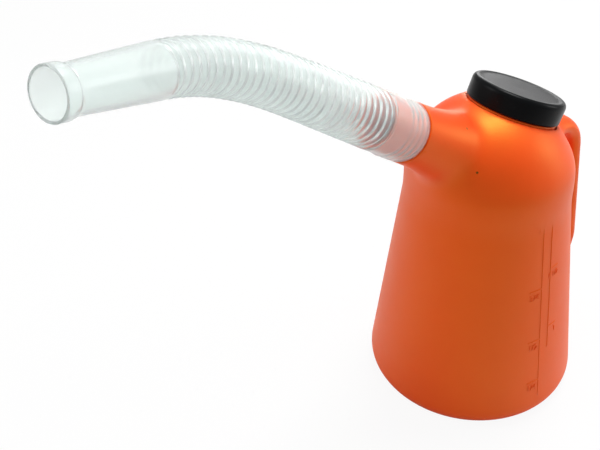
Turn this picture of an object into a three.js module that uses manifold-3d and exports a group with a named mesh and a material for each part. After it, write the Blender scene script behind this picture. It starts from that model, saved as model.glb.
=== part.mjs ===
// One-litre measuring and pouring jug: a blow-moulded body with a screw cap and a bent flexible spout.
// Millimetres, +Z up. The origin is the centre of the foot, on the axis of the round body.
// The spigot points towards -X and the handle towards +X, and both lie in the XZ plane.
import * as THREE from "three";
import { mergeVertices } from "three/addons/utils/BufferGeometryUtils.js";
import Module from "manifold-3d";

const degrees = THREE.MathUtils.degToRad;

// Clearance between pieces that touch on curved faces
const SEAT_GAP = 0.3;

// How far a hollow is carried on past the rim that it opens
const CUT_PAST = 5;

// Round body
const FOOT_RADIUS = 59.3;
const FOOT_CORNER = 8.2;
const WALL_TAPER = degrees(7.5);
const WALL = 1.6;
const SHOULDER_HEIGHT = 139.3;
const DOME_RISE = 22;
const BASE_RECESS = 1.5;
const STANDING_RING = 6;

// Screw cap, measured from its lower edge
const CAP_GAP = 0.5;
const CAP_RADIUS = 24.5;
const CAP_HEIGHT = 11.1;
const CAP_BEVEL = 2.2;
const CAP_WALL = 1.8;
const CAP_TOP = 2;
const CAP_DISH = 0.5;
const CAP_DISH_RIM = 2.5;
const LINER_THICKNESS = 1.8;

// Filler neck under the cap, on an axis that crosses the body's axis at the shoulder height
const THREAD_ROOM = 2.4;
const COLLAR_STEP = 0.9;
const NECK_TILT = degrees(23.3);
const NECK_RADIUS = CAP_RADIUS - CAP_WALL - THREAD_ROOM;
const NECK_WALL = 1.6;
const COLLAR_RADIUS = CAP_RADIUS - COLLAR_STEP;
const COLLAR_DISTANCE = 31.9;
const CROWN_RADIUS = 42;

// Spigot and its boss, on an axis that also crosses the body's axis at the shoulder height
const SPIGOT_ELEVATION = degrees(36.3);
const SEAT_DISTANCE = 72.3;
const SEAT_RADIUS = 14.8;
const BOSS_RADIUS = 18;
const BOSS_START = 17;
const BOSS_STRAIGHT = 26;
const SPIGOT_RADIUS = 12.5;
const SPIGOT_WALL = 1.5;
const SPIGOT_LENGTH = 22;

// Hollow handle, an oval tube in the XZ plane
const HANDLE_WIDTH = 18;
const HANDLE_THICKNESS = 9.5;
const HANDLE_WALL = 1.5;
const HANDLE_OFFSET = 17.5;
const HANDLE_FOOT_OFFSET = 19.8;
const HANDLE_RISE = 7.4;
const HANDLE_TOP = SHOULDER_HEIGHT + HANDLE_RISE;
const HANDLE_BOTTOM = 50.4;
const HANDLE_FOOT_DROP = 9.9;
const HANDLE_ROOT = 14;
const HANDLE_TOP_CORNER = 15.4;
const HANDLE_BOTTOM_CORNER = 16.2;

// Flexible spout, measured along its axis from the open end of its cuff
const CUFF_RADIUS = 14.1;
const CUFF_LENGTH = 24.4;
const CUFF_RIDGES = 4;
const CUFF_RIDGE_PITCH = 3.5;
const CUFF_RIDGE_HEIGHT = 0.7;
const CUFF_RIDGE_HALF = 0.875;
const SPOUT_WALL = 1.1;
const CORRUGATIONS = 30;
const CORRUGATED_LENGTH = 119.6;
const CORRUGATION_DEPTH = 1.3;
// Places of each corrugation's groove and of both ends of its crest, as shares of the pitch
const GROOVE_AT = 0.1;
const CREST_FROM = 0.4;
const CREST_TO = 0.8;
const NOZZLE_LENGTH = 47.8;
const NOZZLE_RADIUS = 10.3;
const NOZZLE_TIP_RADIUS = 8;
const MOUTH_RADIUS = 9.2;
const MOUTH_BEAD = 8.2;
const MOUTH_FLARE = 4;
const BEND_START = 68.9;
const BEND_ANGLE = degrees(27.5);
const BEND_TIGHTENING = 1.49;
const BEND_SWING = degrees(-47.2);
// One moulding, kept as two nodes that meet face to face on the crest of this corrugation
const NODE_SPLIT = 22;
const LENGTH_SLACK = 0.001;

// Facets
const BODY_SIDES = 48;
const NECK_SIDES = 36;
const BOSS_SIDES = 28;
const CAP_SIDES = 48;
const SPOUT_SIDES = 20;
const HANDLE_STEPS = 26;
const HANDLE_SIDES = 8;
const BODY_ARC_STEPS = 4;
const NECK_ARC_STEPS = 5;
const BOSS_ARC_STEPS = 5;
const CAP_ARC_STEPS = 3;
const AXIS_STEPS = 60;

const wasm = await Module();
wasm.setup();

// A closed three.js geometry as a solid for joining and cutting.
function solidFrom(geometry, matrix = new THREE.Matrix4()) {
  const bare = geometry.clone().applyMatrix4(matrix);
  bare.deleteAttribute("normal");
  bare.deleteAttribute("uv");
  const merged = mergeVertices(bare);
  return new wasm.Manifold(
    new wasm.Mesh({
      numProp: 3,
      vertProperties: merged.getAttribute("position").array,
      triVerts: new Uint32Array(merged.index.array),
    }),
  );
}

// The solid back as a three.js geometry.
function geometryFrom(solid) {
  const { vertProperties, triVerts } = solid.getMesh();
  const geometry = new THREE.BufferGeometry();
  geometry.setAttribute("position", new THREE.BufferAttribute(new Float32Array(vertProperties), 3));
  geometry.setIndex(new THREE.BufferAttribute(new Uint32Array(triVerts), 1));
  geometry.computeVertexNormals();
  return geometry;
}

// A profile of (radius, height) revolved about +Z.
function revolve(path, sides, divisions) {
  const lathe = new THREE.LatheGeometry(path.getPoints(divisions), sides);
  return lathe.rotateX(Math.PI / 2);
}

// The frame at the shoulder whose +Z leans from the vertical by an angle, towards +X where it is positive.
function leaningFrame(lean) {
  return new THREE.Matrix4()
    .makeTranslation(0, 0, SHOULDER_HEIGHT)
    .multiply(new THREE.Matrix4().makeRotationY(lean));
}
const neckFrame = leaningFrame(NECK_TILT);
const spigotFrame = leaningFrame(SPIGOT_ELEVATION - Math.PI / 2);

// Radius of the straight tapered wall, on its outside
function wallRadius(height) {
  const cornerTop = FOOT_CORNER * (1 + Math.sin(WALL_TAPER));
  const cornerRadius = FOOT_RADIUS - FOOT_CORNER * (1 - Math.cos(WALL_TAPER));
  return cornerRadius - (height - cornerTop) * Math.tan(WALL_TAPER);
}

// Outline of the round body, pulled in by an inset to make its inside
function bodyOutline(inset) {
  const corner = FOOT_CORNER - inset;
  const domeRise = DOME_RISE - inset;
  const shoulderRadius = wallRadius(SHOULDER_HEIGHT) - inset / Math.cos(WALL_TAPER);
  const domeRadius = Math.sqrt(shoulderRadius ** 2 - (domeRise * Math.tan(WALL_TAPER)) ** 2);
  const domeStart = Math.atan((domeRise / domeRadius) * Math.tan(WALL_TAPER));
  const ringInner = FOOT_RADIUS - FOOT_CORNER - STANDING_RING;
  const outline = new THREE.Path();
  outline.moveTo(0, BASE_RECESS + inset);
  outline.lineTo(ringInner - BASE_RECESS, BASE_RECESS + inset);
  outline.lineTo(ringInner, inset);
  outline.absarc(FOOT_RADIUS - FOOT_CORNER, FOOT_CORNER, corner, -Math.PI / 2, WALL_TAPER, false);
  outline.absellipse(0, SHOULDER_HEIGHT, domeRadius, domeRise, domeStart, Math.PI / 2, false, 0);
  return outline;
}

// Crown that leans with the filler neck and fills out the shoulder: an egg up to the collar's edge.
// The inside goes on as the neck's bore.
function crownOutline(inset) {
  const crownRise = COLLAR_DISTANCE / Math.sqrt(1 - (COLLAR_RADIUS / CROWN_RADIUS) ** 2);
  const collarHeight = COLLAR_DISTANCE - inset;
  const crownEnd = Math.asin(collarHeight / (crownRise - inset));
  const outline = new THREE.Path();
  outline.absellipse(0, 0, CROWN_RADIUS - inset, crownRise - inset, -Math.PI / 2, crownEnd, false, 0);
  if (inset > 0) {
    outline.lineTo(NECK_RADIUS - inset, collarHeight);
    outline.lineTo(NECK_RADIUS - inset, COLLAR_DISTANCE + CUT_PAST);
    outline.lineTo(0, COLLAR_DISTANCE + CUT_PAST);
  } else {
    outline.lineTo(0, collarHeight);
  }
  return outline;
}

// Boss that flares from the spigot's seat into the shoulder, and the spigot on it
function bossOutline(inset, spigotRadius, tip) {
  const straightEnd = BOSS_START + BOSS_STRAIGHT;
  const outline = new THREE.Path();
  outline.moveTo(0, BOSS_START);
  outline.lineTo(BOSS_RADIUS - inset, BOSS_START);
  outline.lineTo(BOSS_RADIUS - inset, straightEnd);
  outline.quadraticCurveTo(
    SEAT_RADIUS - inset, (straightEnd + SEAT_DISTANCE) / 2,
    SEAT_RADIUS - inset, SEAT_DISTANCE - inset,
  );
  outline.lineTo(spigotRadius, SEAT_DISTANCE - inset);
  outline.lineTo(spigotRadius, tip);
  outline.lineTo(0, tip);
  return outline;
}

// Centre line of the handle: out of the neck, down beside the wall, and back into the wall
function handleLine() {
  const place = (height, offset) => new THREE.Vector3(wallRadius(height) + offset, 0, height);
  const corners = [
    place(HANDLE_TOP, -HANDLE_ROOT),
    place(HANDLE_TOP, HANDLE_OFFSET),
    place(HANDLE_BOTTOM, HANDLE_FOOT_OFFSET),
    place(HANDLE_BOTTOM - HANDLE_FOOT_DROP, -HANDLE_WALL - WALL),
  ];
  const radii = [0, HANDLE_TOP_CORNER, HANDLE_BOTTOM_CORNER, 0];
  const line = new THREE.CurvePath();
  let from = corners[0];
  for (let i = 1; i < corners.length - 1; i += 1) {
    const before = corners[i].clone().lerp(corners[i - 1], radii[i] / corners[i].distanceTo(corners[i - 1]));
    const after = corners[i].clone().lerp(corners[i + 1], radii[i] / corners[i].distanceTo(corners[i + 1]));
    line.add(new THREE.LineCurve3(from, before));
    line.add(new THREE.QuadraticBezierCurve3(before, corners[i], after));
    from = after;
  }
  line.add(new THREE.LineCurve3(from, corners.at(-1)));
  return line;
}

function handleTube(inset) {
  const section = new THREE.Shape();
  section.absellipse(0, 0, HANDLE_THICKNESS / 2 - inset, HANDLE_WIDTH / 2 - inset, 0, 2 * Math.PI, false, 0);
  return new THREE.ExtrudeGeometry(section, {
    steps: HANDLE_STEPS,
    curveSegments: HANDLE_SIDES,
    extrudePath: handleLine(),
  });
}

// The body's outside, or the hollow inside it
function bodyForm(inset, handleInset, spigotTip) {
  const spigotInset = inset > 0 ? SPIGOT_WALL : 0;
  const crownInset = inset > 0 ? NECK_WALL : 0;
  const boss = bossOutline(inset, SPIGOT_RADIUS - spigotInset, spigotTip);
  return solidFrom(revolve(bodyOutline(inset), BODY_SIDES, BODY_ARC_STEPS))
    .add(solidFrom(revolve(crownOutline(crownInset), NECK_SIDES, NECK_ARC_STEPS), neckFrame))
    .add(solidFrom(revolve(boss, BOSS_SIDES, BOSS_ARC_STEPS), spigotFrame))
    .add(solidFrom(handleTube(handleInset)));
}

const neckRim = COLLAR_DISTANCE + CAP_GAP + CAP_HEIGHT - CAP_TOP - LINER_THICKNESS - 2 * SEAT_GAP;
const spigotTip = SEAT_DISTANCE + SPIGOT_LENGTH;

// The blown body is one moulding. Its bare neck above the collar is a plain ring of its own, flush on the ledge,
// so that collision shapes can follow it closely under the cap.
function jugBody() {
  const outside = bodyForm(0, 0, spigotTip);
  const inside = bodyForm(WALL, HANDLE_WALL, spigotTip + CUT_PAST);
  return geometryFrom(outside.subtract(inside));
}

function fillerNeck() {
  const bore = NECK_RADIUS - NECK_WALL;
  const outline = new THREE.Path();
  outline.moveTo(bore, COLLAR_DISTANCE);
  outline.lineTo(NECK_RADIUS, COLLAR_DISTANCE);
  outline.lineTo(NECK_RADIUS, neckRim);
  outline.lineTo(bore, neckRim);
  outline.lineTo(bore, COLLAR_DISTANCE);
  return revolve(outline, NECK_SIDES, 1);
}

// Screw cap: a smooth skirt, a bevelled edge and a slightly dished top
function fillerCap() {
  const outline = new THREE.Path();
  const ceiling = CAP_HEIGHT - CAP_TOP;
  outline.moveTo(0, ceiling);
  outline.lineTo(CAP_RADIUS - CAP_WALL, ceiling);
  outline.lineTo(CAP_RADIUS - CAP_WALL, 0);
  outline.lineTo(CAP_RADIUS, 0);
  outline.lineTo(CAP_RADIUS, CAP_HEIGHT - CAP_BEVEL);
  outline.quadraticCurveTo(CAP_RADIUS - CAP_BEVEL / 4, CAP_HEIGHT - CAP_BEVEL / 4, CAP_RADIUS - CAP_BEVEL, CAP_HEIGHT);
  outline.lineTo(CAP_RADIUS - CAP_BEVEL - CAP_DISH_RIM, CAP_HEIGHT - CAP_DISH);
  outline.lineTo(0, CAP_HEIGHT - CAP_DISH);
  return revolve(outline, CAP_SIDES, CAP_ARC_STEPS);
}

// Soft sealing disc between the cap's ceiling and the neck's rim
function capLiner() {
  const radius = CAP_RADIUS - CAP_WALL - SEAT_GAP;
  return new THREE.CylinderGeometry(radius, radius, LINER_THICKNESS, CAP_SIDES).rotateX(Math.PI / 2);
}

// Outer or inner profile of the straight spout, from the cuff to the mouth, pulled in by the wall for the inside
function spoutSide(inset) {
  const side = [];
  const add = (radius, along) => side.push(new THREE.Vector2(radius - inset, along));
  add(CUFF_RADIUS, 0);
  for (let i = 0; i < CUFF_RIDGES && inset === 0; i += 1) {
    const crest = (i + 0.5) * CUFF_RIDGE_PITCH;
    add(CUFF_RADIUS, crest - CUFF_RIDGE_HALF);
    add(CUFF_RADIUS + CUFF_RIDGE_HEIGHT, crest);
    add(CUFF_RADIUS, crest + CUFF_RIDGE_HALF);
  }
  add(CUFF_RADIUS, CUFF_LENGTH);
  const pitch = CORRUGATED_LENGTH / CORRUGATIONS;
  for (let i = 0; i < CORRUGATIONS; i += 1) {
    const along = CUFF_LENGTH + i * pitch;
    const crest = THREE.MathUtils.lerp(CUFF_RADIUS, NOZZLE_RADIUS, i / (CORRUGATIONS - 1));
    add(crest - CORRUGATION_DEPTH, along + pitch * GROOVE_AT);
    add(crest, along + pitch * CREST_FROM);
    if (inset === 0) add(crest, along + pitch * CREST_TO);
  }
  const nozzleStart = CUFF_LENGTH + CORRUGATED_LENGTH;
  const mouth = nozzleStart + NOZZLE_LENGTH;
  const beadShare = (NOZZLE_LENGTH - MOUTH_BEAD) / NOZZLE_LENGTH;
  add(NOZZLE_RADIUS, nozzleStart + pitch);
  add(THREE.MathUtils.lerp(NOZZLE_RADIUS, NOZZLE_TIP_RADIUS, beadShare), mouth - MOUTH_BEAD);
  add(MOUTH_RADIUS, mouth - MOUTH_BEAD + MOUTH_FLARE);
  add(MOUTH_RADIUS, mouth);
  return side;
}

// Direction of the spout's axis, as an angle from the spigot's: the bend tightens towards the nozzle
function bendAt(along) {
  const bendLength = CUFF_LENGTH + CORRUGATED_LENGTH - BEND_START;
  const share = THREE.MathUtils.clamp((along - BEND_START) / bendLength, 0, 1);
  return BEND_ANGLE * share ** BEND_TIGHTENING;
}

// Point of the spout's axis in its own frame: +Z leaves the spigot and the bend goes towards +X
function axisPoint(along) {
  const step = along / AXIS_STEPS;
  const point = new THREE.Vector3();
  for (let i = 0; i < AXIS_STEPS; i += 1) {
    const angle = bendAt((i + 0.5) * step);
    point.x += Math.sin(angle) * step;
    point.z += Math.cos(angle) * step;
  }
  return point;
}

// A stretch of the straight spout as it leaves its mould, then flexed along its axis
function flexedSpout(from, to) {
  const within = (point) => point.y > from - LENGTH_SLACK && point.y < to + LENGTH_SLACK;
  const outside = spoutSide(0).filter(within);
  const inside = spoutSide(SPOUT_WALL).filter(within).reverse();
  const geometry = new THREE.LatheGeometry([...outside, ...inside, outside[0].clone()], SPOUT_SIDES);
  geometry.rotateX(Math.PI / 2);
  const position = geometry.getAttribute("position");
  const vertex = new THREE.Vector3();
  for (let i = 0; i < position.count; i += 1) {
    vertex.fromBufferAttribute(position, i);
    const centre = axisPoint(vertex.z);
    const angle = bendAt(vertex.z);
    position.setXYZ(
      i,
      centre.x + vertex.x * Math.cos(angle),
      vertex.y,
      centre.z - vertex.x * Math.sin(angle),
    );
  }
  geometry.computeVertexNormals();
  return geometry;
}

const materials = {
  orange: new THREE.MeshStandardMaterial({ name: "orange_polyethylene", color: 0xe2581f, roughness: 0.45 }),
  black: new THREE.MeshStandardMaterial({ name: "black_polypropylene", color: 0x101214, roughness: 0.4 }),
  foam: new THREE.MeshStandardMaterial({ name: "white_foam", color: 0xe8e6de, roughness: 0.9 }),
  milky: new THREE.MeshStandardMaterial({
    name: "milky_polyethylene", color: 0xdce8e4, roughness: 0.35, transparent: true, opacity: 0.8,
  }),
};

function named(name, geometry, material) {
  const mesh = new THREE.Mesh(geometry, material);
  mesh.name = name;
  return mesh;
}

function placedBy(matrix, ...meshes) {
  const group = new THREE.Group();
  group.applyMatrix4(matrix);
  group.add(...meshes);
  return group;
}

const cap = named("filler_cap", fillerCap(), materials.black);
cap.position.z = COLLAR_DISTANCE + CAP_GAP;

const liner = named("cap_liner", capLiner(), materials.foam);
liner.position.z = neckRim + SEAT_GAP + LINER_THICKNESS / 2;

const splitAt = CUFF_LENGTH + (NODE_SPLIT + CREST_FROM) * CORRUGATED_LENGTH / CORRUGATIONS;
const spoutEnd = CUFF_LENGTH + CORRUGATED_LENGTH + NOZZLE_LENGTH;
const spout = new THREE.Group();
spout.add(
  named("spout", flexedSpout(0, splitAt), materials.milky),
  named("spout_nozzle", flexedSpout(splitAt, spoutEnd), materials.milky),
);
spout.position.z = SEAT_DISTANCE + SEAT_GAP;
spout.rotation.z = Math.PI - BEND_SWING;

const neck = named("filler_neck", fillerNeck(), materials.orange);

const jug = new THREE.Group();
jug.add(
  named("jug_body", jugBody(), materials.orange),
  placedBy(neckFrame, neck, cap, liner),
  placedBy(spigotFrame, spout),
);

export default jug;
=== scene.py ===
"""Looks of the one-litre measuring and pouring jug.

Its smooth moulded body, its screw cap with the sealing wad, and its flexible spout.
"""

import math

import bpy
import numpy as np
from mathutils import Matrix, Vector


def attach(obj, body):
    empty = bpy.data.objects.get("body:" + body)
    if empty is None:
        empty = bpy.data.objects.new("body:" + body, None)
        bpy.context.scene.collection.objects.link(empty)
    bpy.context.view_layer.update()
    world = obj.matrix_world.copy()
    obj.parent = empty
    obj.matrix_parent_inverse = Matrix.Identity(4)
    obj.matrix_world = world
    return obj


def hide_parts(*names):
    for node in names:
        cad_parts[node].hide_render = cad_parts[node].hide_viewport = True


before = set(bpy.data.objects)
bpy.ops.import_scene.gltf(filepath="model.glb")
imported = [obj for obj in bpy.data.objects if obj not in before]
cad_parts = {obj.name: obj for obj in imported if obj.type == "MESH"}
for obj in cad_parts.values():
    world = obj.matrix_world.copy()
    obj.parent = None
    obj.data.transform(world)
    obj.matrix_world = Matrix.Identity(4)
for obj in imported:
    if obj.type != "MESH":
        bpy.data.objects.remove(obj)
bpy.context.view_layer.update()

MM = 0.001

# Sizes of the solids, in millimetres
FOOT_RADIUS = 59.3
FOOT_CORNER = 8.2
WALL_TAPER = math.radians(7.5)
WALL = 1.6
SHOULDER_HEIGHT = 139.3
DOME_RISE = 22.0
BASE_RECESS = 1.5
STANDING_RING = 6.0
NECK_TILT = math.radians(23.3)
NECK_RADIUS = 20.3
NECK_WALL = 1.6
COLLAR_RADIUS = 23.6
COLLAR_DISTANCE = 31.9
CROWN_RADIUS = 42.0
CAP_GAP = 0.5
CAP_RADIUS = 24.5
CAP_HEIGHT = 11.1
CAP_BEVEL = 2.2
CAP_WALL = 1.8
CAP_TOP = 2.0
CAP_DISH = 0.5
CAP_DISH_RIM = 2.5
LINER_THICKNESS = 1.8
SEAT_GAP = 0.3
SPIGOT_ELEVATION = math.radians(36.3)
SEAT_DISTANCE = 72.3
SEAT_RADIUS = 14.8
BOSS_RADIUS = 18.0
BOSS_START = 17.0
BOSS_STRAIGHT = 26.0
SPIGOT_RADIUS = 12.5
SPIGOT_WALL = 1.5
SPIGOT_LENGTH = 22.0
HANDLE_WIDTH = 18.0
HANDLE_THICKNESS = 9.5
HANDLE_OFFSET = 17.5
HANDLE_FOOT_OFFSET = 19.8
HANDLE_TOP = 146.7
HANDLE_BOTTOM = 50.4
HANDLE_FOOT_DROP = 9.9
HANDLE_ROOT = 14.0
HANDLE_TOP_CORNER = 15.4
HANDLE_BOTTOM_CORNER = 16.2
CUFF_RADIUS = 14.1
CUFF_LENGTH = 24.4
CUFF_RIDGES = 4
CUFF_RIDGE_PITCH = 3.5
CUFF_RIDGE_HEIGHT = 0.7
SPOUT_WALL = 1.1
CORRUGATIONS = 30
CORRUGATED_LENGTH = 119.6
CORRUGATION_DEPTH = 1.3
NOZZLE_LENGTH = 47.8
NOZZLE_RADIUS = 10.3
NOZZLE_TIP_RADIUS = 8.0
MOUTH_RADIUS = 9.2
MOUTH_BEAD = 8.2
MOUTH_FLARE = 4.0
BEND_START = 68.9
BEND_ANGLE = math.radians(27.5)
BEND_TIGHTENING = 1.49
BEND_SWING = math.radians(-47.2)
NECK_RIM = COLLAR_DISTANCE + CAP_GAP + CAP_HEIGHT - CAP_TOP - LINER_THICKNESS - 2 * SEAT_GAP

# Screw threads of neck and cap, which only the looks have
THREAD_PITCH = 4.0
NECK_THREAD_START = 1.6
NECK_THREAD_TURNS = 1.4
NECK_THREAD_HEIGHT = 1.3
NECK_THREAD_WIDTH = 1.8
CAP_THREAD_START = 3.0
CAP_THREAD_TURNS = 1.2
CAP_THREAD_HEIGHT = 0.5
CAP_THREAD_WIDTH = 1.2

# Fineness of the body's surface, the reach of its soft inside corners, and the stretch of neck and boss
# that is made past their ends and cut off
VOXEL = 1.75
SETTLE_ROUNDS = 3
BOSS_BLEND = 13.0
NECK_BLEND = 7.0
HANDLE_BLEND = 9.0
EXTENSION = 8.0
# How far the collar's and the seat's turned edges reach down over the ends of the blended surface
FINISH_DEPTH = 2.5

# How far the sharp corners of the turned pieces are rounded
NECK_EDGE = 0.5
SEAT_EDGE = 0.4
CAP_EDGE = 0.7
LINER_EDGE = 0.4
# How much deeper the cap's dish is in its middle
CAP_DISH_FALL = 0.3
# Turned plates begin at this radius, so that no face shrinks to a line on the axis
AXIS_HOLE = 0.01

# Sides of the turned pieces
NECK_SIDES = 128
SPIGOT_SIDES = 112
CAP_SIDES = 144
LINER_SIDES = 128
SPOUT_SIDES = 96
THREAD_SIDES = 96
CORRUGATION_STEPS = 8

# The camera, as the photograph shows the jug
CAMERA_PLACE = (-281.4, -253.6, 393.2)
CAMERA_FORWARD = (0.4245, 0.6617, -0.6180)
CAMERA_UP = (0.3778, 0.4908, 0.7851)
FOCAL_LENGTH = 51.04
SENSOR_WIDTH = 36.0


def wall_radius(height):
    """Radius of the straight tapered wall."""
    corner_top = FOOT_CORNER * (1 + math.sin(WALL_TAPER))
    corner_radius = FOOT_RADIUS - FOOT_CORNER * (1 - math.cos(WALL_TAPER))
    return corner_radius - (height - corner_top) * math.tan(WALL_TAPER)


def leaning_frame(lean):
    """The frame at the shoulder whose +Z leans from the vertical, towards +X where the angle is positive."""
    return Matrix.Translation((0, 0, SHOULDER_HEIGHT)) @ Matrix.Rotation(lean, 4, "Y")


NECK_FRAME = leaning_frame(NECK_TILT)
SPIGOT_FRAME = leaning_frame(SPIGOT_ELEVATION - math.pi / 2)


# Outlines of (radius, height)

def arc(centre, radii, start, end, count):
    angles = np.linspace(start, end, count)
    return [(centre[0] + radii[0] * math.cos(a), centre[1] + radii[1] * math.sin(a)) for a in angles]


def curve_to(start, control, end, count):
    """A quadratic curve, without its first point."""
    shares = np.linspace(0, 1, count + 1)[1:]
    return [
        tuple((1 - t) ** 2 * start[k] + 2 * t * (1 - t) * control[k] + t * t * end[k] for k in range(2))
        for t in shares
    ]


def body_outline(floor=0.0):
    """The round body; a positive floor thickens the base panel for the inside."""
    shoulder = wall_radius(SHOULDER_HEIGHT)
    dome_radius = math.sqrt(shoulder**2 - (DOME_RISE * math.tan(WALL_TAPER)) ** 2)
    dome_start = math.atan(DOME_RISE / dome_radius * math.tan(WALL_TAPER))
    ring_inner = FOOT_RADIUS - FOOT_CORNER - STANDING_RING
    outline = [(0, BASE_RECESS + floor), (ring_inner - BASE_RECESS, BASE_RECESS + floor), (ring_inner, 0)]
    foot_centre = (FOOT_RADIUS - FOOT_CORNER, FOOT_CORNER)
    outline += arc(foot_centre, (FOOT_CORNER, FOOT_CORNER), -math.pi / 2, WALL_TAPER, 14)
    outline += arc((0, SHOULDER_HEIGHT), (dome_radius, DOME_RISE), dome_start, math.pi / 2, 30)
    return outline


def neck_outline(rim):
    """The crown round the neck: an egg up to the collar's edge, carried on to a rim."""
    rise = COLLAR_DISTANCE / math.sqrt(1 - (COLLAR_RADIUS / CROWN_RADIUS) ** 2)
    end = math.asin(COLLAR_DISTANCE / rise)
    outline = arc((0, 0), (CROWN_RADIUS, rise), -math.pi / 2, end, 40)
    outline += [(COLLAR_RADIUS, rim), (0, rim)]
    return outline


def boss_outline(tip):
    """The flared boss, carried on at the seat's radius to a tip."""
    straight_end = BOSS_START + BOSS_STRAIGHT
    wide = (BOSS_RADIUS, straight_end)
    seat = (SEAT_RADIUS, SEAT_DISTANCE)
    outline = [(0, BOSS_START), (BOSS_RADIUS, BOSS_START), wide]
    outline += curve_to(wide, (SEAT_RADIUS, (straight_end + SEAT_DISTANCE) / 2), seat, 12)
    outline += [(SEAT_RADIUS, tip), (0, tip)]
    return outline


def handle_line():
    """Points of the handle's centre line, as (x, z)."""
    def place(height, offset):
        return np.array([wall_radius(height) + offset, height])

    corners = [
        place(HANDLE_TOP, -HANDLE_ROOT),
        place(HANDLE_TOP, HANDLE_OFFSET),
        place(HANDLE_BOTTOM, HANDLE_FOOT_OFFSET),
        place(HANDLE_BOTTOM - HANDLE_FOOT_DROP, -2 * WALL),
    ]
    radii = [0, HANDLE_TOP_CORNER, HANDLE_BOTTOM_CORNER, 0]
    points = [corners[0]]
    for i in (1, 2):
        back = corners[i - 1] - corners[i]
        onward = corners[i + 1] - corners[i]
        before = corners[i] + back * radii[i] / np.linalg.norm(back)
        after = corners[i] + onward * radii[i] / np.linalg.norm(onward)
        points.append(before)
        points += [np.array(p) for p in curve_to(before, corners[i], after, 10)]
    points.append(corners[-1])
    return points


# Distance fields, in millimetres, negative inside

def distance_to_line(points, line):
    """Distance of 2-D points to an open line."""
    best = np.full(len(points), 1e9)
    for a, b in zip(line[:-1], line[1:]):
        a = np.asarray(a, float)
        b = np.asarray(b, float)
        along = b - a
        length = along @ along
        if length < 1e-12:
            continue
        share = np.clip((points - a) @ along / length, 0, 1)
        gap = points - a - share[:, None] * along
        best = np.minimum(best, np.einsum("ij,ij->i", gap, gap))
    return np.sqrt(best)


def inside_outline(points, outline):
    """Whether 2-D points with positive radius lie between the outline and the axis."""
    inside = np.zeros(len(points), bool)
    closed = list(outline) + [outline[0]]
    for (ax, ay), (bx, by) in zip(closed[:-1], closed[1:]):
        if ay == by:
            continue
        crosses = (ay > points[:, 1]) != (by > points[:, 1])
        at = ax + (points[:, 1] - ay) / (by - ay) * (bx - ax)
        inside ^= crosses & (points[:, 0] < at)
    return inside


def revolved_field(points, outline, matrix=None):
    """Signed distance of 3-D points to an outline revolved about a frame's +Z."""
    if matrix is not None:
        inverse = np.array(matrix.inverted())
        points = points @ inverse[:3, :3].T + inverse[:3, 3]
    flat = np.stack([np.hypot(points[:, 0], points[:, 1]), points[:, 2]], axis=1)
    distance = distance_to_line(flat, outline)
    return np.where(inside_outline(flat, outline), -distance, distance)


def handle_field(points):
    """Signed distance to the oval tube of the handle, close to its surface."""
    across = distance_to_line(points[:, [0, 2]], handle_line())
    thick = HANDLE_THICKNESS / 2
    wide = HANDLE_WIDTH / 2
    scaled = np.hypot(across / thick, points[:, 1] / wide)
    slope = np.hypot(across / thick**2, points[:, 1] / wide**2)
    return scaled * (scaled - 1) / np.maximum(slope, 1e-6)


def blended(a, b, reach):
    """The union of two fields with a soft inside corner."""
    share = np.clip(0.5 + 0.5 * (b - a) / reach, 0, 1)
    return b * (1 - share) + a * share - reach * share * (1 - share)


def body_field(points, floor=0.0):
    """The body's outside with its neck and boss carried on past their ends, which are cut off afterwards."""
    field = revolved_field(points, body_outline(floor))
    boss = revolved_field(points, boss_outline(SEAT_DISTANCE + EXTENSION), SPIGOT_FRAME)
    neck = revolved_field(points, neck_outline(COLLAR_DISTANCE + EXTENSION), NECK_FRAME)
    field = blended(field, boss, BOSS_BLEND)
    field = blended(field, neck, NECK_BLEND)
    return blended(field, handle_field(points), HANDLE_BLEND)


def field_outside(points):
    return body_field(points)


def field_inside(points):
    return body_field(points, WALL) + WALL


# Meshes

def make_object(name, vertices, faces):
    mesh = bpy.data.meshes.new(name)
    places = [tuple(v) for v in np.asarray(vertices) * MM]
    mesh.from_pydata(places, [], [tuple(int(i) for i in face) for face in faces])
    mesh.update()
    mesh.shade_smooth()
    piece = bpy.data.objects.new(name, mesh)
    bpy.context.scene.collection.objects.link(piece)
    return piece


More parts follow.
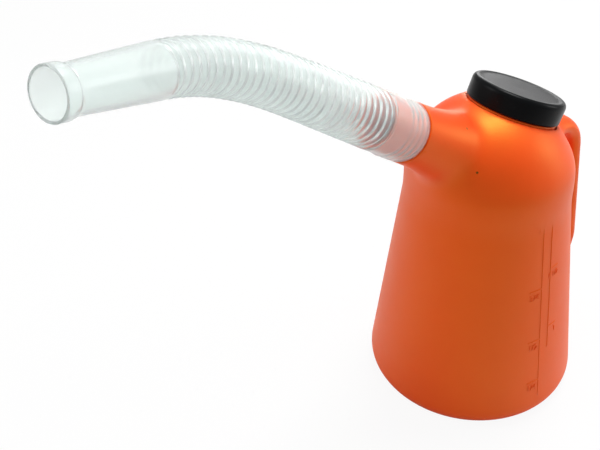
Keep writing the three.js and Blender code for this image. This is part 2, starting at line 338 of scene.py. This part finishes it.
def surface_net(field, low, high, step):
    """Quads on the zero level of a field, one vertex for each cell that the surface crosses."""
    axes = [np.arange(low[k], high[k] + step, step) for k in range(3)]
    shape = tuple(len(a) for a in axes)
    grid = np.stack(np.meshgrid(*axes, indexing="ij"), axis=-1).reshape(-1, 3)
    values = np.concatenate([field(part) for part in np.array_split(grid, 12)]).reshape(shape)
    solid = values < 0
    cells = tuple(n - 1 for n in shape)
    total = np.zeros(cells + (3,))
    count = np.zeros(cells)
    for axis in range(3):
        others = [k for k in range(3) if k != axis]
        for corner in range(4):
            shift = [0, 0, 0]
            shift[others[0]] = corner & 1
            shift[others[1]] = corner >> 1
            near = tuple(slice(shift[k], shift[k] + cells[k]) for k in range(3))
            far = tuple(slice(shift[k] + (k == axis), shift[k] + (k == axis) + cells[k]) for k in range(3))
            crossing = solid[near] != solid[far]
            share = values[near] / np.where(crossing, values[near] - values[far], 1)
            for k in range(3):
                part = share if k == axis else shift[k]
                total[..., k] += np.where(crossing, part, 0)
            count += crossing
    used = count > 0
    number = np.full(cells, -1)
    number[used] = np.arange(used.sum())
    index = np.argwhere(used)
    vertices = np.array(low) + (index + total[used] / count[used][:, None]) * step
    faces = []
    for axis in range(3):
        u = (axis + 1) % 3
        v = (axis + 2) % 3
        near = [slice(1, -1)] * 3
        far = [slice(1, -1)] * 3
        near[axis] = slice(0, -1)
        far[axis] = slice(1, None)
        change = solid[tuple(near)] != solid[tuple(far)]
        at = np.argwhere(change)
        outward = solid[tuple(near)][change]
        at[:, u] += 1
        at[:, v] += 1
        quad = []
        for du, dv in ((-1, -1), (0, -1), (0, 0), (-1, 0)):
            cell = at.copy()
            cell[:, u] += du
            cell[:, v] += dv
            quad.append(number[cell[:, 0], cell[:, 1], cell[:, 2]])
        quad = np.stack(quad, axis=1)
        quad[~outward] = quad[~outward][:, ::-1]
        faces.append(quad)
    return vertices, np.concatenate(faces)


def settle(field, vertices, faces, rounds):
    """Evens the mesh out and moves its vertices onto the field's zero level."""
    pairs = np.concatenate([faces[:, [i, (i + 1) % 4]] for i in range(4)])
    pairs = np.concatenate([pairs, pairs[:, ::-1]])
    small = 0.02
    for _ in range(rounds):
        near = np.zeros_like(vertices)
        count = np.zeros(len(vertices))
        np.add.at(near, pairs[:, 0], vertices[pairs[:, 1]])
        np.add.at(count, pairs[:, 0], 1)
        vertices = 0.5 * vertices + 0.5 * near / count[:, None]
        for _ in range(2):
            value = field(vertices)
            steps = [field(vertices + small * axis) for axis in np.eye(3)]
            slope = np.stack([(step - value) / small for step in steps], axis=1)
            move = value[:, None] * slope / np.maximum((slope**2).sum(1), 0.05)[:, None]
            vertices = vertices - np.clip(move, -VOXEL / 2, VOXEL / 2)
    return vertices


def in_frame(vertices, matrix):
    inverse = np.array(matrix.inverted())
    return vertices @ inverse[:3, :3].T + inverse[:3, 3]


def cut_past(vertices, faces, matrix, along, reach):
    """Leaves out the faces past a distance along a frame's axis and near it, and pulls the rest to it."""
    local = in_frame(vertices, matrix)
    near_axis = np.hypot(local[:, 0], local[:, 1]) < reach
    past = near_axis & (local[:, 2] > along)
    kept = faces[~past[faces].all(axis=1)]
    local[past, 2] = along
    outward = np.array(matrix)
    moved = local @ outward[:3, :3].T + outward[:3, 3]
    vertices = np.where(past[:, None], moved, vertices)
    return vertices, kept


def tidy_indices(vertices, faces):
    used = np.unique(faces)
    number = np.full(len(vertices), -1)
    number[used] = np.arange(len(used))
    return vertices[used], number[faces]


def body_surface(field, neck_end, spigot_end):
    low = (-FOOT_RADIUS - 22, -FOOT_RADIUS - 4, -4)
    high = (FOOT_RADIUS + 28, FOOT_RADIUS + 4, SHOULDER_HEIGHT + 62)
    vertices, faces = surface_net(field, low, high, VOXEL)
    vertices = settle(field, vertices, faces, SETTLE_ROUNDS)
    vertices, faces = cut_past(vertices, faces, NECK_FRAME, neck_end, COLLAR_RADIUS + 3)
    vertices, faces = cut_past(vertices, faces, SPIGOT_FRAME, spigot_end, SEAT_RADIUS + 3)
    return tidy_indices(vertices, faces)


def rings(outline, sides, matrix=None, closed=True):
    """Vertices and quads of an outline of (radius, height) revolved about a frame's +Z."""
    outline = np.array(outline, float)
    angles = np.linspace(0, 2 * math.pi, sides, endpoint=False)
    ring = np.stack([np.cos(angles), np.sin(angles)], axis=1)
    vertices = np.concatenate([
        outline[:, None, :1] * ring[None],
        np.broadcast_to(outline[:, None, 1:], (len(outline), sides, 1)),
    ], axis=2).reshape(-1, 3)
    if matrix is not None:
        spread = np.array(matrix)
        vertices = vertices @ spread[:3, :3].T + spread[:3, 3]
    faces = []
    rows = len(outline) if closed else len(outline) - 1
    for i in range(rows):
        j = (i + 1) % len(outline)
        for k in range(sides):
            m = (k + 1) % sides
            faces.append((i * sides + k, i * sides + m, j * sides + m, j * sides + k))
    return vertices, np.array(faces)


def softened(outline, radius, closed=True, count=4):
    """An outline with its sharp corners rounded."""
    points = [np.array(p, float) for p in outline]
    result = []
    for i, corner in enumerate(points):
        if not closed and i in (0, len(points) - 1):
            result.append(tuple(corner))
            continue
        before = points[i - 1] - corner
        after = points[(i + 1) % len(points)] - corner
        reach = min(radius, 0.45 * np.linalg.norm(before), 0.45 * np.linalg.norm(after))
        start = corner + before / np.linalg.norm(before) * reach
        end = corner + after / np.linalg.norm(after) * reach
        result.append(tuple(start))
        result += curve_to(start, corner, end, count)
    return result


def helix_ridge(radius, start, turns, height, width, matrix, outward=1):
    """A screw thread: a low rounded ridge that runs round a cylinder and fades out at both ends."""
    section = [(-0.5, -0.15), (-0.28, 0.75), (0, 1), (0.28, 0.75), (0.5, -0.15)]
    steps = int(THREAD_SIDES * turns)
    vertices = []
    for i in range(steps + 1):
        angle = 2 * math.pi * turns * i / steps
        fade = min(1.0, 8 * i / steps, 8 * (steps - i) / steps)
        for along, out in section:
            r = radius + outward * height * (out * fade if out > 0 else out)
            z = start + THREAD_PITCH * angle / (2 * math.pi) + along * width
            vertices.append((r * math.cos(angle), r * math.sin(angle), z))
    spread = np.array(matrix)
    vertices = np.array(vertices) @ spread[:3, :3].T + spread[:3, 3]
    n = len(section)
    faces = []
    for i in range(steps):
        for k in range(n):
            m = (k + 1) % n
            faces.append((i * n + k, i * n + m, (i + 1) * n + m, (i + 1) * n + k)[::-outward])
    faces.append(tuple(range(n))[::outward])
    faces.append(tuple(steps * n + k for k in range(n))[::-outward])
    return vertices, faces


def joined(parts):
    """One list of vertices and faces from several."""
    vertices = []
    faces = []
    for part_vertices, part_faces in parts:
        first = sum(len(v) for v in vertices)
        vertices.append(np.asarray(part_vertices))
        faces += [tuple(int(i) + first for i in face) for face in part_faces]
    return np.concatenate(vertices), faces


# The raised scale on the jug's side

SCALE_MIDDLE = math.radians(-90)
SCALE_HALF_SPREAD = math.radians(3.6)
SCALE_HEIGHT = 100.0
SCALE_RISE = 0.3
SCALE_SINK = 0.5
LITRE_MARKS = {129.8: "1", 89.0: "3/4", 55.5: "1/2", 26.8: "1/4"}
PINT_MARKS = {146.6: "2", 98.7: "1 1/2", 60.9: "1"}
TICK_LENGTH = 8.0
LINE_WIDTH = 0.7
DIGIT_SIZE = 5.0
DIGIT_DROP = 4.2
DIGIT_BEVEL = 0.06
PINT_SHARE = 0.8
LINE_STEPS = 60


def on_wall(across, height, rise):
    """Where a point of the flat scale lies on the wall; across is measured round it from the middle."""
    height = np.asarray(height, float)
    radius = np.array([wall_radius(h) for h in np.atleast_1d(height)])
    angle = SCALE_MIDDLE + np.atleast_1d(across) / radius
    out = radius + np.atleast_1d(rise) * math.cos(WALL_TAPER)
    return np.stack([
        out * np.cos(angle),
        out * np.sin(angle),
        np.atleast_1d(height) + np.atleast_1d(rise) * math.sin(WALL_TAPER),
    ], axis=1)


def raised_line(start, end, steps=12):
    """A raised line with a rounded top between two places on the wall, given as (across, height)."""
    start = np.array(start, float)
    end = np.array(end, float)
    along = (end - start) / np.linalg.norm(end - start)
    side = np.array([-along[1], along[0]])
    section = [(-0.5, -SCALE_SINK), (-0.42, 0.55 * SCALE_RISE), (-0.2, SCALE_RISE),
               (0.2, SCALE_RISE), (0.42, 0.55 * SCALE_RISE), (0.5, -SCALE_SINK)]
    vertices = []
    for i in range(steps + 1):
        middle = start + (end - start) * i / steps
        for offset, rise in section:
            place = middle + side * offset * LINE_WIDTH
            vertices.append(on_wall(place[0], place[1], rise)[0])
    n = len(section)
    faces = []
    for i in range(steps):
        for k in range(n):
            m = (k + 1) % n
            faces.append((i * n + k, (i + 1) * n + k, (i + 1) * n + m, i * n + m))
    faces.append(tuple(range(n)))
    faces.append(tuple(steps * n + k for k in reversed(range(n))))
    return vertices, faces


def raised_number(text, across, height, size=DIGIT_SIZE):
    """A raised number on the wall, with its right end at a place given as (across, height)."""
    curve = bpy.data.curves.new("number", "FONT")
    curve.body = text
    curve.size = size
    curve.extrude = (SCALE_RISE + SCALE_SINK) / 2
    curve.bevel_depth = DIGIT_BEVEL
    curve.align_x = "RIGHT"
    curve.align_y = "CENTER"
    source = bpy.data.objects.new("number", curve)
    bpy.context.scene.collection.objects.link(source)
    bpy.context.view_layer.update()
    mesh = bpy.data.meshes.new_from_object(source)
    flat = np.array([v.co[:] for v in mesh.vertices])
    faces = [tuple(p.vertices) for p in mesh.polygons]
    bpy.data.objects.remove(source)
    rise = flat[:, 2] + (SCALE_RISE - SCALE_SINK) / 2
    return on_wall(across + flat[:, 0], height + flat[:, 1], rise), faces


def scale_marks():
    """The litre scale on the left and the pint scale on the right, with plain numbers under their ticks."""
    parts = []
    litre_line = -SCALE_HALF_SPREAD * wall_radius(SCALE_HEIGHT)
    pint_line = SCALE_HALF_SPREAD * wall_radius(SCALE_HEIGHT)
    heights = sorted(LITRE_MARKS)
    parts.append(raised_line((litre_line, heights[0] - 12), (litre_line, heights[-1]), LINE_STEPS))
    for height, text in LITRE_MARKS.items():
        parts.append(raised_line((litre_line - TICK_LENGTH, height), (litre_line, height)))
        parts.append(raised_number(text, litre_line - 1.5, height - DIGIT_DROP))
    heights = sorted(PINT_MARKS)
    parts.append(raised_line((pint_line, heights[0] - 14), (pint_line, heights[-1] - 6), LINE_STEPS))
    tick_end = pint_line + TICK_LENGTH * PINT_SHARE
    for height, text in PINT_MARKS.items():
        parts.append(raised_line((pint_line, height), (tick_end, height)))
        parts.append(raised_number(text, tick_end, height - DIGIT_DROP, DIGIT_SIZE * PINT_SHARE))
    return joined(parts)


# Materials

def new_material(name):
    material = bpy.data.materials.new(name)
    material.use_nodes = True
    return material, material.node_tree.nodes, material.node_tree.links


def noise_node(nodes, links, scale, detail):
    place = nodes.new("ShaderNodeTexCoord")
    noise = nodes.new("ShaderNodeTexNoise")
    noise.inputs["Scale"].default_value = scale
    noise.inputs["Detail"].default_value = detail
    links.new(place.outputs["Object"], noise.inputs["Vector"])
    return noise


def ramp_node(nodes, links, value, stops):
    ramp = nodes.new("ShaderNodeValToRGB")
    elements = ramp.color_ramp.elements
    while len(elements) < len(stops):
        elements.new(0.5)
    for element, (position, colour) in zip(elements, stops):
        element.position = position
        element.color = (*colour, 1)
    links.new(value, ramp.inputs["Fac"])
    return ramp


def bump_node(nodes, links, height, strength, distance):
    bump = nodes.new("ShaderNodeBump")
    bump.inputs["Strength"].default_value = strength
    bump.inputs["Distance"].default_value = distance
    links.new(height, bump.inputs["Height"])
    return bump


# Specks of burnt plastic in the moulding: place in millimetres, radius and colour
SPECKS = [
    ((-30.1, -21.2, 158.8), 0.75, (0.06, 0.012, 0.006)),
    ((-29.1, -11.1, 177.2), 0.9, (0.42, 0.06, 0.012)),
]


def speck_mask(nodes, links, place, radius):
    """One in the middle of a small round spot, nought outside it."""
    coordinate = nodes.new("ShaderNodeTexCoord")
    distance = nodes.new("ShaderNodeVectorMath")
    distance.operation = "DISTANCE"
    distance.inputs[1].default_value = [value * MM for value in place]
    links.new(coordinate.outputs["Object"], distance.inputs[0])
    mask = nodes.new("ShaderNodeMapRange")
    mask.inputs["From Min"].default_value = radius * MM
    mask.inputs["From Max"].default_value = 0.5 * radius * MM
    links.new(distance.outputs["Value"], mask.inputs["Value"])
    return mask.outputs["Result"]


def orange_plastic(surface):
    """Satin polyethylene with a fine moulded grain; its highlights are tinted by the plastic."""
    material, nodes, links = new_material("orange_polyethylene")
    shader = nodes["Principled BSDF"]
    clouds = noise_node(nodes, links, 18, 3)
    colour = ramp_node(nodes, links, clouds.outputs["Fac"], [
        (0.3, (0.84, 0.048, 0.010)), (0.7, (0.87, 0.056, 0.011)),
    ])
    tint = colour.outputs["Color"]
    for near, radius, dark in SPECKS:
        place = surface[np.linalg.norm(surface - np.array(near), axis=1).argmin()]
        mix = nodes.new("ShaderNodeMix")
        mix.data_type = "RGBA"
        links.new(speck_mask(nodes, links, place, radius), mix.inputs["Factor"])
        links.new(tint, mix.inputs["A"])
        mix.inputs["B"].default_value = (*dark, 1)
        tint = mix.outputs["Result"]
    links.new(tint, shader.inputs["Base Color"])
    sheen_patches = noise_node(nodes, links, 60, 4)
    rough = nodes.new("ShaderNodeMapRange")
    rough.inputs["To Min"].default_value = 0.42
    rough.inputs["To Max"].default_value = 0.52
    links.new(sheen_patches.outputs["Fac"], rough.inputs["Value"])
    links.new(rough.outputs["Result"], shader.inputs["Roughness"])
    shader.inputs["IOR"].default_value = 1.5
    shader.inputs["Specular IOR Level"].default_value = 0.8
    shader.inputs["Specular Tint"].default_value = (0.6, 1.0, 0.05, 1)
    shader.inputs["Subsurface Weight"].default_value = 0.1
    shader.inputs["Subsurface Radius"].default_value = (0.004, 0.002, 0.0004)
    shader.inputs["Subsurface Scale"].default_value = 1.0
    peel = noise_node(nodes, links, 900, 2)
    bump = bump_node(nodes, links, peel.outputs["Fac"], 0.15, 0.0003)
    links.new(bump.outputs["Normal"], shader.inputs["Normal"])
    return material


def black_plastic():
    material, nodes, links = new_material("black_polypropylene")
    shader = nodes["Principled BSDF"]
    clouds = noise_node(nodes, links, 90, 3)
    colour = ramp_node(nodes, links, clouds.outputs["Fac"], [
        (0.3, (0.003, 0.0035, 0.004)), (0.7, (0.005, 0.0055, 0.006)),
    ])
    links.new(colour.outputs["Color"], shader.inputs["Base Color"])
    shader.inputs["Roughness"].default_value = 0.3
    shader.inputs["Specular IOR Level"].default_value = 0.08
    grain = noise_node(nodes, links, 1500, 2)
    bump = bump_node(nodes, links, grain.outputs["Fac"], 0.2, 0.0002)
    links.new(bump.outputs["Normal"], shader.inputs["Normal"])
    return material


def white_foam():
    material, nodes, links = new_material("white_foam")
    shader = nodes["Principled BSDF"]
    cells = noise_node(nodes, links, 2500, 2)
    colour = ramp_node(nodes, links, cells.outputs["Fac"], [
        (0.3, (0.72, 0.71, 0.66)), (0.7, (0.84, 0.83, 0.79)),
    ])
    links.new(colour.outputs["Color"], shader.inputs["Base Color"])
    shader.inputs["Roughness"].default_value = 0.9
    bump = bump_node(nodes, links, cells.outputs["Fac"], 0.4, 0.0003)
    links.new(bump.outputs["Normal"], shader.inputs["Normal"])
    return material


def milky_plastic():
    material, nodes, links = new_material("milky_polyethylene")
    shader = nodes["Principled BSDF"]
    clouds = noise_node(nodes, links, 40, 3)
    colour = ramp_node(nodes, links, clouds.outputs["Fac"], [
        (0.3, (0.93, 0.985, 0.97)), (0.7, (0.95, 0.99, 0.98)),
    ])
    links.new(colour.outputs["Color"], shader.inputs["Base Color"])
    shader.inputs["Roughness"].default_value = 0.24
    shader.inputs["IOR"].default_value = 1.3
    shader.inputs["Transmission Weight"].default_value = 0.8
    grain = noise_node(nodes, links, 500, 2)
    bump = bump_node(nodes, links, grain.outputs["Fac"], 0.1, 0.0003)
    links.new(bump.outputs["Normal"], shader.inputs["Normal"])
    return material


# Pieces

def dressed(piece, material, body, slot, *nodes):
    piece.data.materials.append(material)
    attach(piece, body)
    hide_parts(*nodes)
    return piece


def collar_finish():
    """The collar's ledge round the neck's foot, and the bore through it."""
    bore = NECK_RADIUS - NECK_WALL
    start = COLLAR_DISTANCE - FINISH_DEPTH
    outline = softened([
        (bore, start), (COLLAR_RADIUS, start), (COLLAR_RADIUS, COLLAR_DISTANCE), (bore, COLLAR_DISTANCE),
    ], NECK_EDGE)
    return rings(outline, NECK_SIDES, NECK_FRAME)


def make_neck(material):
    """The bare neck with its screw thread."""
    bore = NECK_RADIUS - NECK_WALL
    foot = COLLAR_DISTANCE - 0.3
    corners = [(bore, foot), (NECK_RADIUS, foot), (NECK_RADIUS, NECK_RIM), (bore, NECK_RIM)]
    outline = softened(corners, NECK_EDGE)
    thread = helix_ridge(
        NECK_RADIUS, COLLAR_DISTANCE + NECK_THREAD_START, NECK_THREAD_TURNS, NECK_THREAD_HEIGHT,
        NECK_THREAD_WIDTH, NECK_FRAME,
    )
    vertices, faces = joined([rings(outline, NECK_SIDES, NECK_FRAME), thread])
    skin = make_object("neck_skin", vertices, faces)
    return dressed(skin, material, "jug", "orange_plastic", "filler_neck")


def spigot_finish():
    """The seat at the end of the boss and the spigot under the cuff."""
    bore = SPIGOT_RADIUS - SPIGOT_WALL
    start = SEAT_DISTANCE - FINISH_DEPTH
    outline = softened([
        (bore, start), (SEAT_RADIUS, start), (SEAT_RADIUS, SEAT_DISTANCE), (SPIGOT_RADIUS, SEAT_DISTANCE),
        (SPIGOT_RADIUS, SEAT_DISTANCE + SPIGOT_LENGTH), (bore, SEAT_DISTANCE + SPIGOT_LENGTH),
    ], SEAT_EDGE)
    return rings(outline, SPIGOT_SIDES, SPIGOT_FRAME)


def make_body():
    """The body with all that is moulded with it, and the orange plastic that it shares with its neck."""
    outside, outside_faces = body_surface(field_outside, COLLAR_DISTANCE - 1, SEAT_DISTANCE - 1)
    inside, inside_faces = body_surface(field_inside, COLLAR_DISTANCE - 2, SEAT_DISTANCE - 2)
    vertices, faces = joined([
        (outside, outside_faces),
        (inside, inside_faces[:, ::-1]),
        collar_finish(),
        spigot_finish(),
        scale_marks(),
    ])
    material = orange_plastic(outside)
    dressed(make_object("jug_skin", vertices, faces), material, "jug", "orange_plastic", "jug_body")
    return material


def make_cap(material):
    """The screw cap with its bevel, its dished top and the thread inside its skirt."""
    ceiling = CAP_HEIGHT - CAP_TOP
    bevel_start = (CAP_RADIUS, CAP_HEIGHT - CAP_BEVEL)
    bevel_end = (CAP_RADIUS - CAP_BEVEL, CAP_HEIGHT)
    dish = CAP_HEIGHT - CAP_DISH
    inside = CAP_RADIUS - CAP_WALL
    rounding = 0.32 * CAP_BEVEL
    side = [
        (AXIS_HOLE, ceiling), (inside, ceiling), (inside, 0), (CAP_RADIUS, 0), bevel_start,
        (CAP_RADIUS - rounding, CAP_HEIGHT - rounding),
        bevel_end, (CAP_RADIUS - CAP_BEVEL - CAP_DISH_RIM, dish), (AXIS_HOLE, dish - CAP_DISH_FALL),
    ]
    cap_frame = NECK_FRAME @ Matrix.Translation((0, 0, COLLAR_DISTANCE + CAP_GAP))
    outline = softened(side, CAP_EDGE, closed=False, count=5)
    thread = helix_ridge(
        inside, CAP_THREAD_START, CAP_THREAD_TURNS, CAP_THREAD_HEIGHT, CAP_THREAD_WIDTH,
        cap_frame, outward=-1,
    )
    vertices, faces = joined([rings(outline, CAP_SIDES, cap_frame, closed=False), thread])
    skin = make_object("cap_skin", vertices, faces)
    return dressed(skin, material, "cap", "black_plastic", "filler_cap")


def make_liner(material):
    """The sealing wad between the neck's rim and the cap's top."""
    radius = CAP_RADIUS - CAP_WALL - SEAT_GAP
    bottom = NECK_RIM + SEAT_GAP
    top = bottom + LINER_THICKNESS
    corners = [(AXIS_HOLE, bottom), (radius, bottom), (radius, top), (AXIS_HOLE, top)]
    outline = softened(corners, LINER_EDGE, closed=False)
    vertices, faces = rings(outline, LINER_SIDES, NECK_FRAME, closed=False)
    skin = make_object("liner_skin", vertices, faces)
    return dressed(skin, material, "liner", "white_foam", "cap_liner")


# The flexible spout

def bend_at(along):
    """Direction of the spout's axis, as an angle from the spigot's: the bend tightens towards the nozzle."""
    bend_length = CUFF_LENGTH + CORRUGATED_LENGTH - BEND_START
    share = np.clip((along - BEND_START) / bend_length, 0, 1)
    return BEND_ANGLE * share**BEND_TIGHTENING


def axis_table(length, step=0.1):
    """Places of the spout's axis in its own frame, at even steps."""
    along = np.arange(0, length + step, step)
    angle = bend_at(along[:-1] + step / 2)
    x = np.concatenate([[0], np.cumsum(np.sin(angle) * step)])
    z = np.concatenate([[0], np.cumsum(np.cos(angle) * step)])
    return along, x, z


def corrugated_side(inset):
    """Profile of the spout's wall from the cuff to the mouth; the inside is pulled in by the wall."""
    nozzle_start = CUFF_LENGTH + CORRUGATED_LENGTH
    mouth = nozzle_start + NOZZLE_LENGTH
    pitch = CORRUGATED_LENGTH / CORRUGATIONS
    side = []
    for along in np.arange(0, CUFF_LENGTH, pitch / CORRUGATION_STEPS):
        radius = CUFF_RADIUS
        ridge = along / CUFF_RIDGE_PITCH
        if ridge < CUFF_RIDGES and inset == 0:
            radius += CUFF_RIDGE_HEIGHT * (0.5 - 0.5 * math.cos(2 * math.pi * ridge)) ** 2
        side.append((radius, along))
    for step in range(CORRUGATIONS * CORRUGATION_STEPS):
        share = step / (CORRUGATIONS * CORRUGATION_STEPS)
        phase = (step % CORRUGATION_STEPS) / CORRUGATION_STEPS
        crest = CUFF_RADIUS + (NOZZLE_RADIUS - CUFF_RADIUS) * share
        depth = CORRUGATION_DEPTH * (1 - (0.5 - 0.5 * math.cos(2 * math.pi * phase)) ** 1.3)
        side.append((crest - depth, CUFF_LENGTH + step * pitch / CORRUGATION_STEPS))
    bead = mouth - MOUTH_BEAD
    side.append((NOZZLE_RADIUS - CORRUGATION_DEPTH, nozzle_start))
    side.append((NOZZLE_RADIUS - 0.5 * CORRUGATION_DEPTH, nozzle_start + 0.4))
    side.append((NOZZLE_RADIUS - 0.1, nozzle_start + 1.0))
    slope = (NOZZLE_TIP_RADIUS - NOZZLE_RADIUS) / NOZZLE_LENGTH
    neck = NOZZLE_RADIUS + slope * (bead - nozzle_start)
    for along in np.linspace(nozzle_start + 2, bead, 24):
        side.append((NOZZLE_RADIUS + slope * (along - nozzle_start), along))
    flare_end = bead + MOUTH_FLARE
    flare_start = (neck + 0.5, bead + 0.6 * MOUTH_FLARE)
    side += curve_to((neck, bead), (neck, bead + 0.45 * MOUTH_FLARE), flare_start, 4)
    side += curve_to(side[-1], (MOUTH_RADIUS - 0.1, bead + 0.8 * MOUTH_FLARE), (MOUTH_RADIUS, flare_end), 5)
    side += [(MOUTH_RADIUS, a) for a in np.linspace(flare_end + 0.8, mouth - 0.6, 4)]
    side += [(MOUTH_RADIUS - 0.2 * (1 if inset == 0 else -1), mouth)]
    return [(radius - inset, along) for radius, along in side]


def make_spout(material):
    """The spout, turned straight and then flexed along its axis."""
    outline = corrugated_side(0) + corrugated_side(SPOUT_WALL)[::-1]
    vertices, faces = rings(outline, SPOUT_SIDES)
    along, x, z = axis_table(CUFF_LENGTH + CORRUGATED_LENGTH + NOZZLE_LENGTH)
    angle = bend_at(vertices[:, 2])
    centre_x = np.interp(vertices[:, 2], along, x)
    centre_z = np.interp(vertices[:, 2], along, z)
    flexed = np.stack([
        centre_x + vertices[:, 0] * np.cos(angle),
        vertices[:, 1],
        centre_z - vertices[:, 0] * np.sin(angle),
    ], axis=1)
    place = SPIGOT_FRAME @ Matrix.Translation((0, 0, SEAT_DISTANCE + SEAT_GAP))
    place = place @ Matrix.Rotation(math.pi - BEND_SWING, 4, "Z")
    spread = np.array(place)
    flexed = flexed @ spread[:3, :3].T + spread[:3, 3]
    skin = make_object("spout_skin", flexed, faces)
    return dressed(skin, material, "spout", "milky_plastic", "spout", "spout_nozzle")


# Studio

FLOOR_REACH = 6.0
FLOOR_COLOUR = (0.72, 0.72, 0.72, 1)
# Share of plain white in what the camera sees of the floor; the rest keeps the shadow
FLOOR_GLOW = 0.92
WORLD_STRENGTH = 0.47
LAMP_TARGET = (-0.04, 0, 0.12)
# Name, place, size and power of each lamp
LAMPS = [
    ("key", (0.35, 0.15, 1.2), 0.5, 13.0),
    ("fill", (0.95, -0.5, 0.5), 0.5, 3.0),
    ("rim", (-0.9, 0.6, 0.8), 0.6, 3.0),
    ("back", (1.0, 0.9, 0.32), 0.5, 2.8),
]


def seen_rays(nodes, links):
    """One for rays that show the background: straight from the camera, or through a see-through wall."""
    path = nodes.new("ShaderNodeLightPath")
    either = nodes.new("ShaderNodeMath")
    either.operation = "MAXIMUM"
    links.new(path.outputs["Is Camera Ray"], either.inputs[0])
    links.new(path.outputs["Is Transmission Ray"], either.inputs[1])
    return either.outputs["Value"]


def make_floor():
    mesh = bpy.data.meshes.new("floor")
    corners = [(x * FLOOR_REACH, y * FLOOR_REACH, 0) for x, y in ((-1, -1), (1, -1), (1, 1), (-1, 1))]
    mesh.from_pydata(corners, [], [(0, 1, 2, 3)])
    floor = bpy.data.objects.new("floor", mesh)
    bpy.context.scene.collection.objects.link(floor)
    material, nodes, links = new_material("pale_floor")
    shader = nodes["Principled BSDF"]
    shader.inputs["Base Color"].default_value = FLOOR_COLOUR
    shader.inputs["Roughness"].default_value = 0.8
    glow = nodes.new("ShaderNodeEmission")
    glow.inputs["Strength"].default_value = 1.0
    share = nodes.new("ShaderNodeMath")
    share.operation = "MULTIPLY"
    share.inputs[1].default_value = FLOOR_GLOW
    links.new(seen_rays(nodes, links), share.inputs[0])
    mix = nodes.new("ShaderNodeMixShader")
    links.new(share.outputs["Value"], mix.inputs["Fac"])
    links.new(shader.outputs["BSDF"], mix.inputs[1])
    links.new(glow.outputs["Emission"], mix.inputs[2])
    links.new(mix.outputs["Shader"], nodes["Material Output"].inputs["Surface"])
    mesh.materials.append(material)


def area_light(name, place, size, power):
    light = bpy.data.lights.new(name, "AREA")
    light.shape = "DISK"
    light.size = size
    light.energy = power
    lamp = bpy.data.objects.new(name, light)
    lamp.location = place
    aim = Vector(LAMP_TARGET) - Vector(place)
    lamp.rotation_euler = aim.to_track_quat("-Z", "Y").to_euler()
    bpy.context.scene.collection.objects.link(lamp)


def make_studio():
    scene = bpy.context.scene
    scene.view_settings.view_transform = "Standard"
    world = bpy.data.worlds.new("studio")
    scene.world = world
    world.use_nodes = True
    nodes = world.node_tree.nodes
    links = world.node_tree.links
    soft = nodes["Background"]
    soft.inputs["Color"].default_value = (1, 1, 1, 1)
    soft.inputs["Strength"].default_value = WORLD_STRENGTH
    white = nodes.new("ShaderNodeBackground")
    white.inputs["Color"].default_value = (1, 1, 1, 1)
    white.inputs["Strength"].default_value = 1.0
    mix = nodes.new("ShaderNodeMixShader")
    links.new(seen_rays(nodes, links), mix.inputs["Fac"])
    links.new(soft.outputs["Background"], mix.inputs[1])
    links.new(white.outputs["Background"], mix.inputs[2])
    links.new(mix.outputs["Shader"], nodes["World Output"].inputs["Surface"])
    for name, place, size, power in LAMPS:
        area_light(name, place, size, power)


def make_camera():
    data = bpy.data.cameras.new("camera")
    data.sensor_width = SENSOR_WIDTH
    data.lens = FOCAL_LENGTH
    data.clip_start = 0.01
    camera = bpy.data.objects.new("camera", data)
    forward = Vector(CAMERA_FORWARD).normalized()
    right = forward.cross(Vector(CAMERA_UP)).normalized()
    up = right.cross(forward)
    turn = Matrix((right, up, -forward)).transposed()
    camera.matrix_world = Matrix.Translation(Vector(CAMERA_PLACE) * MM) @ turn.to_4x4()
    bpy.context.scene.collection.objects.link(camera)
    bpy.context.scene.camera = camera


make_studio()
make_camera()
make_floor()
orange = make_body()
make_neck(orange)
make_cap(black_plastic())
make_liner(white_foam())
make_spout(milky_plastic())
